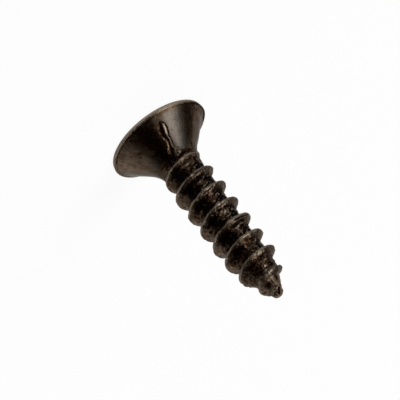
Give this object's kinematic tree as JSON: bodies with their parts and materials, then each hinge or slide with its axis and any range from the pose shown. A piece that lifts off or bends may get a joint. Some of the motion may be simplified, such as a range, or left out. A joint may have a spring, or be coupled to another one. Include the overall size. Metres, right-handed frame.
{
  "type": "self-tapping screw",
  "caption": "Short countersunk self-tapping screw with a coarse right-hand thread along the whole shank, a blunted point and a cross recess, in dark bronze-plated steel.",
  "frame": {"origin": "centre of the flat head face, which the screw stands on", "axes": "+Z along the screw's axis from the head to the point; the thread is right-handed about it"},
  "size_m": [0.0076, 0.0076, 0.0157],
  "materials": {
    "dark_bronze_steel": "semi-gloss, dark antique bronze plating over steel"
  },
  "bodies": {
    "root": {"screw": "dark_bronze_steel"}
  },
  "joints": []
}
